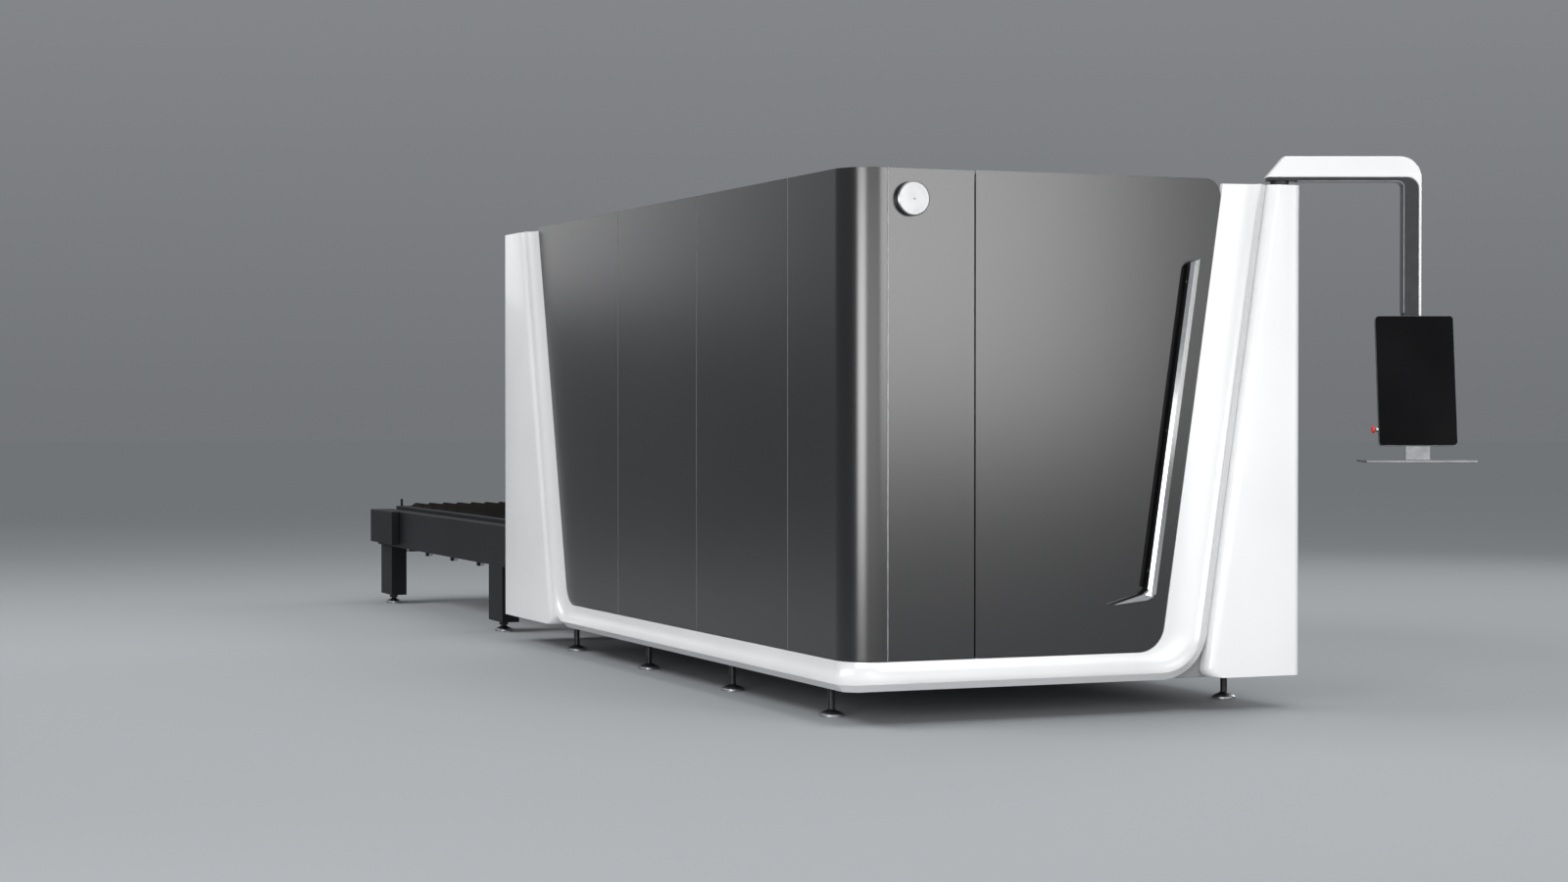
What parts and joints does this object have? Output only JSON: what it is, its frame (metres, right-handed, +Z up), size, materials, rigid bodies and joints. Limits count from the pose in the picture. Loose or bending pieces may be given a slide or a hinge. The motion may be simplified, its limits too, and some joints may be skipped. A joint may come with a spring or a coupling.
{
  "type": "fiber laser cutting machine",
  "caption": "Enclosed fiber laser cutting machine: dark panels in a white coved cradle, front door, swinging console, gantry inside and an exchange table with slatted pallets.",
  "frame": {"origin": "on the floor under the middle of the overall box", "axes": "+X to the right seen from the door end, +Y from the door end to the exchange table, +Z up"},
  "size_m": [2.7898, 8.4434, 2.352],
  "materials": {
    "dark_panel": "satin gloss charcoal",
    "white_paint": "gloss white",
    "charcoal_paint": "satin",
    "black_steel": "mill scale",
    "frame_paint": "satin",
    "foot_steel": "satin",
    "chrome": "polished",
    "bright_steel": "ground",
    "black_plastic": "satin",
    "display_glass": "gloss black",
    "aluminium": "brushed",
    "red_plastic": "gloss",
    "brush": "bristle"
  },
  "bodies": {
    "machine": {"levelling_feet": "foot_steel", "table_feet": "foot_steel", "bed_beams": "frame_paint", "sills": "frame_paint", "base_cross_members": "frame_paint", "uprights": "frame_paint", "front_uprights": "frame_paint", "roof_rails": "frame_paint", "roof_cross_members": "frame_paint", "front_cradle": "white_paint", "side_cradle": "white_paint", "corner_panel": "dark_panel", "front_panel": "dark_panel", "side_panel_1": "dark_panel", "side_panel_2": "dark_panel", "side_panel_3": "dark_panel", "front_end_cover": "white_paint", "rear_end_cover": "white_paint", "rear_corner_panel": "white_paint", "right_panel_1": "white_paint", "right_panel_2": "white_paint", "right_panel_3": "white_paint", "rear_upper_panel": "white_paint", "rear_lower_panel": "white_paint", "slot_brush": "brush", "roof_panels": "white_paint", "exhaust_collar": "bright_steel", "scrap_tray": "frame_paint", "bed_rails": "bright_steel", "track_rollers": "bright_steel", "table_beams": "charcoal_paint", "table_legs": "charcoal_paint", "table_ties": "charcoal_paint", "table_end_boxes": "charcoal_paint", "table_end_stop": "charcoal_paint", "exchange_gearmotor": "charcoal_paint", "front_disc": "chrome", "door_pivots": "bright_steel", "arm_base": "black_plastic"},
    "door": {"door_panel": "dark_panel", "door_handle": "chrome"},
    "arm": {"arm_core": "black_plastic", "arm_shell": "white_paint"},
    "console": {"console_display": "black_plastic", "display_glass": "display_glass", "console_shelf": "aluminium", "stop_body": "aluminium"},
    "stop_button": {"stop_button": "red_plastic"},
    "gantry": {"gantry_beam": "aluminium", "gantry_saddles": "frame_paint", "gantry_motors": "black_plastic", "beam_rails": "bright_steel"},
    "carriage": {"cutting_carriage": "black_plastic"},
    "cutting_head": {"cutting_head": "bright_steel"},
    "outer_pallet": {"outer_pallet_rails": "charcoal_paint", "outer_pallet_ends": "charcoal_paint", "outer_pallet_slats": "black_steel"},
    "inner_pallet": {"inner_pallet_rails": "charcoal_paint", "inner_pallet_ends": "charcoal_paint", "inner_pallet_slats": "black_steel"}
  },
  "joints": [
    {"name": "door_swing", "type": "hinge", "parent": "machine", "child": "door", "pos_m": [-0.77787, -3.72833, 0], "axis": [0, 0, -1], "range_deg": [0, 90]},
    {"name": "arm_swivel", "type": "hinge", "parent": "machine", "child": "arm", "pos_m": [0.68013, -3.68833, 0], "axis": [0, 0, 1], "range_deg": [-45, 60]},
    {"name": "console_swivel", "type": "hinge", "parent": "arm", "child": "console", "pos_m": [1.19529, -3.90014, 0], "axis": [0, 0, 1], "range_deg": [-60, 60]},
    {"name": "stop_press", "type": "slide", "parent": "console", "child": "stop_button", "axis": [0.9249, -0.3803, 0], "range_m": [0, 0.005], "stiffness_N_per_m": 2500},
    {"name": "gantry_travel", "type": "slide", "parent": "machine", "child": "gantry", "axis": [0, 1, 0], "range_m": [-2.95, 0]},
    {"name": "carriage_travel", "type": "slide", "parent": "gantry", "child": "carriage", "axis": [1, 0, 0], "range_m": [-1.484, 0]},
    {"name": "head_lift", "type": "slide", "parent": "carriage", "child": "cutting_head", "axis": [0, 0, 1], "range_m": [-0.195, 0.06]},
    {"name": "pallet_exchange", "type": "slide", "parent": "machine", "child": "outer_pallet", "axis": [0, -1, 0], "range_m": [0, 3.85]},
    {"name": "pallet_return", "type": "slide", "parent": "machine", "child": "inner_pallet", "axis": [0, -1, 0], "range_m": [-3.85, 0]}
  ],
  "couplings": [
    {"joint": "pallet_return", "follows": "pallet_exchange", "ratio": -1}
  ]
}
